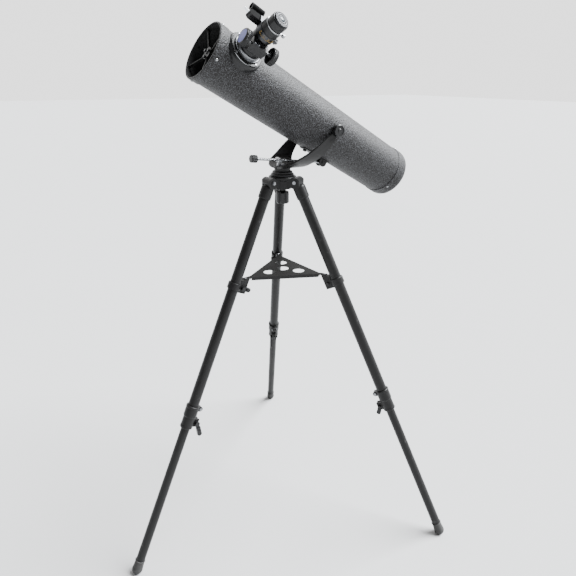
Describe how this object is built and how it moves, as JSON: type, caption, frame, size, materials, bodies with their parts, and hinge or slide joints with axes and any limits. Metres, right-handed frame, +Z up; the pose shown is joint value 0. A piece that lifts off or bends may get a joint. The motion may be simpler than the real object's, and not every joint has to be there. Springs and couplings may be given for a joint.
{
  "type": "newtonian reflector telescope",
  "caption": "Small reflector telescope on a yoke mount with a slow motion rod, focuser, reflex finder and extending tripod with an accessory tray.",
  "frame": {"origin": "on the floor, in the middle of the whole footprint", "axes": "+Z up; the optical tube points along +X, raised 29.5 degrees; the focuser is on the +Y side"},
  "size_m": [0.9327, 0.9004, 1.4456],
  "materials": {
    "black_plastic": "moulded, lightly grained",
    "black_satin": "satin black powder coat",
    "blue_plastic": "glossy blue",
    "bright_steel": "bright plated",
    "clear_plastic": "clear, faintly tinted",
    "front_mirror": "front-coated",
    "grey_enamel": "satin grey enamel",
    "hammered_charcoal": "fine hammered charcoal enamel",
    "rubber": "matt",
    "satin_steel": "satin"
  },
  "bodies": {
    "tripod": {"tripod_hub": "black_satin", "tripod_bolts": "satin_steel", "leg_sleeves": "black_satin", "upper_leg_a": "black_satin", "upper_leg_b": "black_satin", "upper_leg_c": "black_satin", "tray_clamps": "black_satin", "leg_collars": "black_satin", "accessory_tray": "black_satin"},
    "leg_a": {"lower_leg_a": "black_satin", "foot_a": "rubber"},
    "leg_b": {"lower_leg_b": "black_satin", "foot_b": "rubber"},
    "leg_c": {"lower_leg_c": "black_satin", "foot_c": "rubber"},
    "tray_knob_a": {"tray_knob_a": "black_plastic"},
    "tray_knob_b": {"tray_knob_b": "black_plastic"},
    "tray_knob_c": {"tray_knob_c": "black_plastic"},
    "leg_lever_a": {"leg_lever_a": "black_plastic"},
    "leg_lever_b": {"leg_lever_b": "black_plastic"},
    "leg_lever_c": {"leg_lever_c": "black_plastic"},
    "azimuth_knob": {"azimuth_knob": "black_plastic"},
    "mount": {"turntable": "black_satin", "center_bolt": "satin_steel", "yoke": "black_satin", "rod_post": "bright_steel"},
    "rod_lock_screw": {"rod_lock_screw": "bright_steel"},
    "slow_rod": {"slow_rod": "bright_steel"},
    "slow_rod_knob": {"slow_rod_knob": "black_plastic"},
    "tube": {"main_tube": "hammered_charcoal", "front_ring": "hammered_charcoal", "rear_cap": "hammered_charcoal", "tube_screws": "bright_steel", "side_bosses": "black_satin", "rod_bracket": "black_satin", "mirror_cell": "black_satin", "primary_mirror": "front_mirror", "mirror_clips": "black_satin", "cell_screws": "satin_steel", "cell_springs": "satin_steel", "spider": "black_satin", "secondary_holder": "black_plastic", "secondary_mirror": "front_mirror", "focuser_base": "black_plastic", "focuser_flange": "bright_steel", "focuser_body": "black_plastic"},
    "altitude_knob_left": {"altitude_knob_left": "black_plastic"},
    "altitude_knob_right": {"altitude_knob_right": "black_plastic"},
    "draw": {"draw_tube": "black_plastic", "eyepiece_holder": "black_plastic", "eyepiece": "bright_steel", "finder_bracket": "grey_enamel", "reflex_finder": "black_plastic", "finder_window": "clear_plastic"},
    "focus_pinion": {"focus_pinion": "bright_steel", "focus_knobs": "black_plastic", "knob_inlays": "blue_plastic"},
    "holder_screw": {"holder_screw": "bright_steel"},
    "zoom_ring": {"zoom_ring": "black_plastic"},
    "finder_dial": {"finder_dial": "satin_steel"}
  },
  "joints": [
    {"name": "leg_extension_a", "type": "slide", "parent": "tripod", "child": "leg_a", "axis": [0.4126, 0.0361, -0.9102], "range_m": [-0.36, 0.03]},
    {"name": "tray_knob_turn_a", "type": "hinge", "parent": "tripod", "child": "tray_knob_a", "pos_m": [0.08536, 0.03395, 0.75465], "axis": [-0.0872, 0.9962, 0], "range_deg": [-180, 180]},
    {"name": "leg_lever_turn_a", "type": "hinge", "parent": "tripod", "child": "leg_lever_a", "pos_m": [0.25027, 0.04838, 0.3993], "axis": [-0.0872, 0.9962, 0], "range_deg": [-30, 100]},
    {"name": "leg_extension_b", "type": "slide", "parent": "tripod", "child": "leg_b", "axis": [-0.2376, 0.3393, -0.9102], "range_m": [-0.36, 0.03]},
    {"name": "tray_knob_turn_b", "type": "hinge", "parent": "tripod", "child": "tray_knob_b", "pos_m": [-0.12983, 0.13429, 0.75465], "axis": [-0.8192, -0.5736, 0], "range_deg": [-180, 180]},
    {"name": "leg_lever_turn_b", "type": "hinge", "parent": "tripod", "child": "leg_lever_b", "pos_m": [-0.22478, 0.26989, 0.3993], "axis": [-0.8192, -0.5736, 0], "range_deg": [-30, 100]},
    {"name": "leg_extension_c", "type": "slide", "parent": "tripod", "child": "leg_c", "axis": [-0.175, -0.3754, -0.9102], "range_m": [-0.36, 0.03]},
    {"name": "tray_knob_turn_c", "type": "hinge", "parent": "tripod", "child": "tray_knob_c", "pos_m": [-0.10913, -0.10224, 0.75465], "axis": [0.9063, -0.4226, 0], "range_deg": [-180, 180]},
    {"name": "leg_lever_turn_c", "type": "hinge", "parent": "tripod", "child": "leg_lever_c", "pos_m": [-0.17909, -0.25227, 0.3993], "axis": [0.9063, -0.4226, 0], "range_deg": [-30, 100]},
    {"name": "azimuth", "type": "hinge", "parent": "tripod", "child": "mount", "pos_m": [-0.0512, 0.022, 1.044], "axis": [0, 0, 1], "continuous": true},
    {"name": "azimuth_lock", "type": "hinge", "parent": "tripod", "child": "azimuth_knob", "pos_m": [-0.0512, 0.022, 0.99], "axis": [0, 0, 1], "range_deg": [-180, 180]},
    {"name": "altitude", "type": "hinge", "parent": "mount", "child": "tube", "pos_m": [-0.1722, 0.022, 1.162], "axis": [0, -1, 0], "range_deg": [-24, 40]},
    {"name": "altitude_lock_left", "type": "hinge", "parent": "tube", "child": "altitude_knob_left", "pos_m": [-0.1722, 0.106, 1.162], "axis": [0, 1, 0], "range_deg": [-180, 180]},
    {"name": "altitude_lock_right", "type": "hinge", "parent": "tube", "child": "altitude_knob_right", "pos_m": [-0.1722, -0.062, 1.162], "axis": [0, 1, 0], "range_deg": [-180, 180]},
    {"name": "rod_slide", "type": "slide", "parent": "mount", "child": "slow_rod", "axis": [0.9931, 0, 0.1175], "range_m": [-0.038, 0.062]},
    {"name": "slow_motion", "type": "hinge", "parent": "slow_rod", "child": "slow_rod_knob", "pos_m": [0.03382, 0.022, 1.09454], "axis": [0.9931, 0, 0.1175], "continuous": true},
    {"name": "rod_lock", "type": "hinge", "parent": "mount", "child": "rod_lock_screw", "pos_m": [-0.0382, 0.022, 1.08601], "axis": [0, 1, 0], "range_deg": [-180, 180]},
    {"name": "focus_slide", "type": "slide", "parent": "tube", "child": "draw", "axis": [-0.2682, 0.8387, 0.474], "range_m": [-0.005, 0.036]},
    {"name": "focus_turn", "type": "hinge", "parent": "tube", "child": "focus_pinion", "pos_m": [0.07645, 0.13542, 1.35306], "axis": [-0.8704, 0, -0.4924], "range_deg": [-72, 520]},
    {"name": "holder_lock", "type": "hinge", "parent": "draw", "child": "holder_screw", "pos_m": [0.03023, 0.15786, 1.3779], "axis": [-0.8704, 0, -0.4924], "range_deg": [-180, 180]},
    {"name": "zoom", "type": "hinge", "parent": "draw", "child": "zoom_ring", "pos_m": [0.04843, 0.17715, 1.40259], "axis": [-0.2682, 0.8387, 0.474], "range_deg": [-60, 60]},
    {"name": "finder_switch", "type": "hinge", "parent": "draw", "child": "finder_dial", "pos_m": [0.05425, 0.11653, 1.40449], "axis": [-0.8704, 0, -0.4924], "range_deg": [0, 300]}
  ],
  "couplings": [
    {"joint": "rod_slide", "follows": "altitude", "m_per_rad": 0.087},
    {"joint": "focus_turn", "follows": "focus_slide", "rad_per_m": 250}
  ]
}
